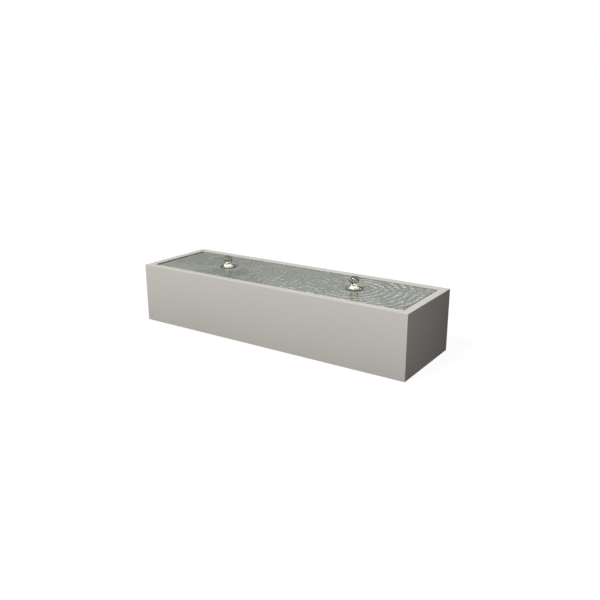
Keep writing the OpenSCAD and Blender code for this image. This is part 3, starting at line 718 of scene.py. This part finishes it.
class TABLE_OT_collars(bpy.types.Operator):
    """Lamp rings with rounded rims, screws and legs, and the water that stands inside them"""

    bl_idname = "table.collars"
    bl_label = "Lamp rings"
    bl_options = {"REGISTER", "UNDO"}

    def execute(self, context):
        lamp = context.scene.table_lamp
        for side in SIDES:
            self.ring(side, lamp)
            self.water(side, lamp, context.scene.table_water)
        return {"FINISHED"}

    def ring(self, side, lamp):
        """A round channel for the lamps, with a ledge for the lens, three legs and six screws."""
        low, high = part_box("lamp_ring_" + side)
        ledge = LENS_LOW.z
        outer = (high.x - low.x) / 2
        inner = outer - lamp.rim
        seat = inner - lamp.ledge
        base = high.z - lamp.depth
        floor = base + lamp.wall
        wall = lamp.hole + lamp.wall
        ring = lathe(
            [(lamp.hole, base), (outer, base), (outer, high.z), (inner, high.z), (inner, ledge),
             (seat, ledge), (seat, floor), (wall, floor), (wall, ledge), (lamp.hole, ledge)],
            JETS[side], steps=96,
        )
        sharp = [e for e in ring.edges if e.is_manifold and e.calc_face_angle() > 0.8]
        bmesh.ops.bevel(
            ring, geom=sharp, offset=lamp.bevel, offset_type="OFFSET", segments=2, profile=0.5,
            affect="EDGES", material=-1,
        )
        for degrees in (30, 150, 270):
            leg = self.spoke(side, degrees, lamp.leg_reach)
            tall = base - low.z
            bmesh.ops.create_cone(
                ring, cap_ends=True, segments=24, radius1=lamp.leg, radius2=lamp.leg, depth=tall,
                matrix=Matrix.Translation((leg.x, leg.y, low.z + tall / 2)),
            )
        for degrees in range(0, 360, 60):
            spot = self.spoke(side, degrees, outer - lamp.rim / 2)
            bmesh.ops.create_cone(
                ring, cap_ends=True, segments=16, radius1=lamp.screw, radius2=0.75 * lamp.screw,
                depth=lamp.screw_rise, matrix=Matrix.Translation((spot.x, spot.y, high.z)),
            )
        piece = settle(
            ring, "lamp_collar_" + side, "tray", "lamp_housing", ["lamp_ring_" + side]
        )
        smooth_flats(piece, math.radians(40))

    def spoke(self, side, degrees, reach):
        """The point at a distance from a jet, in a direction counted from the right."""
        return JETS[side] + Matrix.Rotation(math.radians(degrees), 3, "Z") @ Vector((reach, 0, 0))

    def water(self, side, lamp, waves):
        """The water that stands in the ring, from the lens up to the pool's level, with its own ripples."""
        level = POOL_HIGH.z - 1.0 * MM
        under = LENS_HIGH.z + 0.2 * MM
        reach = (RING_HIGH.x - RING_LOW.x) / 2 - lamp.rim - 0.3 * MM
        rings = [(reach * i / 14, level) for i in range(14, -1, -1)]
        disc = lathe([(0, under), (reach, under)] + rings, JETS[side])
        for vert in disc.verts:
            if vert.co.z > level - 0.5 * MM:
                vert.co.z += 1.6 * water_height(vert.co.x * 1.7, vert.co.y * 1.7, waves)
        settle(disc, "collar_water_" + side, "tray", "pool_water")


def cluster(balls, subdivisions=3):
    """A bmesh of overlapping balls, each (centre, radius)."""
    made = bmesh.new()
    for centre, radius in balls:
        bmesh.ops.create_icosphere(
            made, subdivisions=subdivisions, radius=radius, matrix=Matrix.Translation(centre)
        )
    return made


def melt(piece, voxel, rounds, lump, lumps, floor=None):
    """Joins a cluster into one skin, smooths it and makes it uneven, with so many lumps per metre.

    A floor is the height under which the skin is cut off.
    """
    remesh = piece.modifiers.new("skin", "REMESH")
    remesh.mode = "VOXEL"
    remesh.voxel_size = voxel
    apply_modifiers(piece)
    skin = bmesh.new()
    skin.from_mesh(piece.data)
    for _ in range(rounds):
        bmesh.ops.smooth_vert(
            skin, verts=skin.verts, factor=0.5, use_axis_x=True, use_axis_y=True, use_axis_z=True
        )
    skin.normal_update()
    for vert in skin.verts:
        vert.co += vert.normal * lump * noise.noise(vert.co * lumps)
    if floor is not None:
        cut = bmesh.ops.bisect_plane(
            skin, geom=skin.verts[:] + skin.edges[:] + skin.faces[:], dist=0.01 * MM,
            plane_co=(0, 0, floor), plane_no=(0, 0, 1), clear_inner=True,
        )
        brink = [g for g in cut["geom_cut"] if isinstance(g, bmesh.types.BMEdge)]
        bmesh.ops.triangle_fill(skin, use_beauty=False, use_dissolve=False, edges=brink)
        bmesh.ops.recalc_face_normals(skin, faces=skin.faces)
    skin.to_mesh(piece.data)
    skin.free()
    piece.data.polygons.foreach_set("use_smooth", [True] * len(piece.data.polygons))


def around(rng, reach, low, high):
    """A random point in a round band: its distance from the middle at most reach, its height in a range."""
    bearing = rng.uniform(0, math.tau)
    far = reach * math.sqrt(rng.random())
    return Vector((far * math.cos(bearing), far * math.sin(bearing), rng.uniform(low, high)))


def jet_piece(shape, name, side, finish):
    """A part of a jet, which rides on its nozzle and stands for the CAD jet."""
    return settle(shape, name + side, "nozzle_" + side, finish, ["water_jet_" + side])


class TABLE_OT_jets(bpy.types.Operator):
    """Jets of water: lit foam, a neck, a glassy head, drops and floating bubbles"""

    bl_idname = "table.jets"
    bl_label = "Jets"
    bl_options = {"REGISTER", "UNDO"}

    def execute(self, context):
        sizes = context.scene.table_jet
        rng = random.Random(sizes.seed)
        for side in SIDES:
            foot = Vector((JETS[side].x, 0, POOL_HIGH.z))
            self.foam(side, foot, sizes, rng)
            self.head(side, foot, sizes, rng)
            self.drops(side, foot, sizes, rng)
        return {"FINISHED"}

    def foam(self, side, foot, sizes, rng):
        """Lumps of froth, highest in the middle, that spread towards the lamp ring."""
        surface = foot.z - 0.5 * MM
        foot = foot + Vector((4, -6, 0)) * MM
        lumps = [(foot + Vector((0, 0, 1 * MM)), 13 * MM)]
        for _ in range(40):
            spot = around(rng, sizes.foam - 9 * MM, 0, 3 * MM)
            rise = sizes.foam_height * max(0.0, 1 - (spot.xy.length / sizes.foam) ** 2)
            spot.z += rise * rng.uniform(0.1, 0.6)
            lumps.append((foot + spot, rng.uniform(6, 10) * MM))
        for _ in range(11):
            thread = around(rng, 20 * MM, 0, 0) + Vector((-7, 2, 0)) * MM
            for step in range(7):
                thread += Vector((rng.uniform(-1.6, 1.6), rng.uniform(-1.6, 1.6), 4)) * MM
                lumps.append((foot + thread, rng.uniform(1.9, 2.8) * MM))
        piece = jet_piece(cluster(lumps), "jet_foam_", side, "jet_foam")
        melt(piece, 1.5 * MM, 2, 2.0 * MM, 90, surface)

    def head(self, side, foot, sizes, rng):
        """A glassy head on a thin neck, with lobes round it that make its outline uneven."""
        middle = JET_HIGH.z - foot.z - sizes.head
        up = Vector((0, 0, middle))
        lobes = [(foot + up + Vector((0, 0, 1)) * MM, sizes.head * 0.97)]
        for step in range(7):
            bearing = math.tau * (step + 0.5 * rng.random()) / 7
            reach = sizes.head * rng.uniform(0.55, 0.72)
            spot = Vector((reach * math.cos(bearing), reach * math.sin(bearing), rng.uniform(-12, 8) * MM))
            lobes.append((foot + up + spot, rng.uniform(8, 12) * MM))
        spray = Vector((-0.83, -0.56, 0))
        for reach, rise, radius in ((33, 1, 6), (27, -2, 8)):
            lobes.append((foot + up + (spray * reach + Vector((0, 0, rise))) * MM, radius * MM))
        for step in range(7):
            wobble = Vector((rng.uniform(-3, 3), rng.uniform(-3, 3), 0)) * MM
            rise = sizes.foam_height * 0.5 + step * 5 * MM
            lobes.append((foot + wobble + Vector((0, 0, rise)), sizes.neck * rng.uniform(0.75, 1.0)))
        piece = jet_piece(cluster(lobes), "jet_head_", side, "jet_water")
        melt(piece, 1.5 * MM, 5, 2.0 * MM, 60)

    def drops(self, side, foot, sizes, rng):
        """Drops thrown off the head, and bubbles that float in the lamp ring's water."""
        middle = JET_HIGH.z - foot.z - sizes.head
        drops = []
        for _ in range(14):
            spot = around(rng, sizes.head * 1.45, middle - 22 * MM, middle + 22 * MM)
            if spot.xy.length > sizes.head * 1.12:
                drops.append((foot + spot, rng.uniform(1.2, 2.6) * MM))
        jet_piece(cluster(drops, 2), "jet_drops_", side, "jet_water")
        bubbles = []
        for _ in range(60):
            spot = around(rng, 42 * MM, 0, 0)
            if spot.xy.length > sizes.foam * 0.95:
                bubbles.append((foot + spot, rng.uniform(1.0, 2.2) * MM))
        settle(cluster(bubbles, 2), "ring_bubbles_" + side, "tray", "jet_water")


class TABLE_OT_stage(bpy.types.Operator):
    """Camera, lights, floor and the white surround"""

    bl_idname = "table.stage"
    bl_label = "Stage"
    bl_options = {"REGISTER", "UNDO"}

    def execute(self, context):
        scene = context.scene
        sizes = scene.table_stage
        scene.view_settings.view_transform = "Standard"
        camera = bpy.data.objects.new("camera", bpy.data.cameras.new("camera"))
        scene.collection.objects.link(camera)
        scene.camera = camera
        look = Vector((-math.sin(sizes.azimuth), math.cos(sizes.azimuth), 0)) * math.cos(sizes.tilt)
        look.z = -math.sin(sizes.tilt)
        camera.location = sizes.place
        camera.rotation_euler = look.to_track_quat("-Z", "Y").to_euler()
        camera.data.lens = sizes.lens
        camera.data.sensor_width = 36
        camera.data.clip_end = 200

        world = bpy.data.worlds.new("surround")
        scene.world = world
        world.use_nodes = True
        sky = world.node_tree.nodes["Background"]
        sky.inputs["Color"].default_value = (1.0, 0.99, 0.97, 1)
        sky.inputs["Strength"].default_value = sizes.fill

        for name, (kind, place, target, shape) in LIGHTS.items():
            self.light(name, kind, getattr(sizes, name), place, target, shape)

        floor = bmesh.new()
        bmesh.ops.create_circle(floor, cap_ends=True, segments=96, radius=FLOOR_RADIUS)
        bmesh.ops.translate(floor, vec=(0, 0, CASING_LOW.z - 0.2 * MM), verts=floor.verts)
        self.surround(floor, "floor", 0.06, 0.95)
        dome = bmesh.new()
        bmesh.ops.create_icosphere(dome, subdivisions=5, radius=DOME_RADIUS)
        bmesh.ops.reverse_faces(dome, faces=dome.faces)
        self.surround(dome, "dome", 0.0, 1.0).visible_shadow = False
        return {"FINISHED"}

    def light(self, name, kind, energy, place, target, shape):
        """A light at a place that shines at a target and isn't itself seen."""
        lamp = bpy.data.lights.new(name, kind)
        lamp.energy = energy
        for setting, value in shape.items():
            setattr(lamp, setting, value)
        made = bpy.data.objects.new(name, lamp)
        made.location = place
        made.rotation_euler = (Vector(target) - Vector(place)).to_track_quat("-Z", "Y").to_euler()
        made.visible_camera = False
        bpy.context.scene.collection.objects.link(made)

    def surround(self, shape, name, tone, glow):
        """A pale stage surface that only the camera sees, so that it lights nothing."""
        mesh = bpy.data.meshes.new(name)
        shape.to_mesh(mesh)
        shape.free()
        made = bpy.data.objects.new(name, mesh)
        bpy.context.scene.collection.objects.link(made)
        paint = Paint(name, roughness=0.9, emission_strength=glow, specular_ior_level=0.0)
        grey = paint.blend((tone,) * 3, (tone * 1.1,) * 3, paint.cloud(3.0, 2))
        paint.give(base_color=grey, emission_color=(1.0, 1.0, 1.0))
        mesh.materials.append(paint.material)
        made.visible_diffuse = made.visible_glossy = made.visible_transmission = False
        return made


class TABLE_PT_panel(bpy.types.Panel):
    """Lists the steps and their sizes"""

    bl_idname = "TABLE_PT_panel"
    bl_label = "Water table"
    bl_space_type = "VIEW_3D"
    bl_region_type = "UI"
    bl_category = "Water table"

    def draw(self, context):
        for step in STEPS:
            self.layout.operator(step.bl_idname)
        for group in GROUPS:
            box = self.layout.box()
            for name in GROUPS[group].__annotations__:
                box.prop(getattr(context.scene, group), name)


STEPS = (
    TABLE_OT_finishes,
    TABLE_OT_casing,
    TABLE_OT_water,
    TABLE_OT_collars,
    TABLE_OT_jets,
    TABLE_OT_stage,
)


def register():
    for item in (*GROUPS.values(), *STEPS, TABLE_PT_panel):
        bpy.utils.register_class(item)
    for name, group in GROUPS.items():
        setattr(bpy.types.Scene, name, PointerProperty(type=group))


def unregister():
    for name in GROUPS:
        delattr(bpy.types.Scene, name)
    for item in (TABLE_PT_panel, *reversed(STEPS), *GROUPS.values()):
        bpy.utils.unregister_class(item)


def main():
    """Builds the whole table."""
    register()
    for step in STEPS:
        area, name = step.bl_idname.split(".")
        getattr(getattr(bpy.ops, area), name)()


if __name__ == "__main__":
    main()
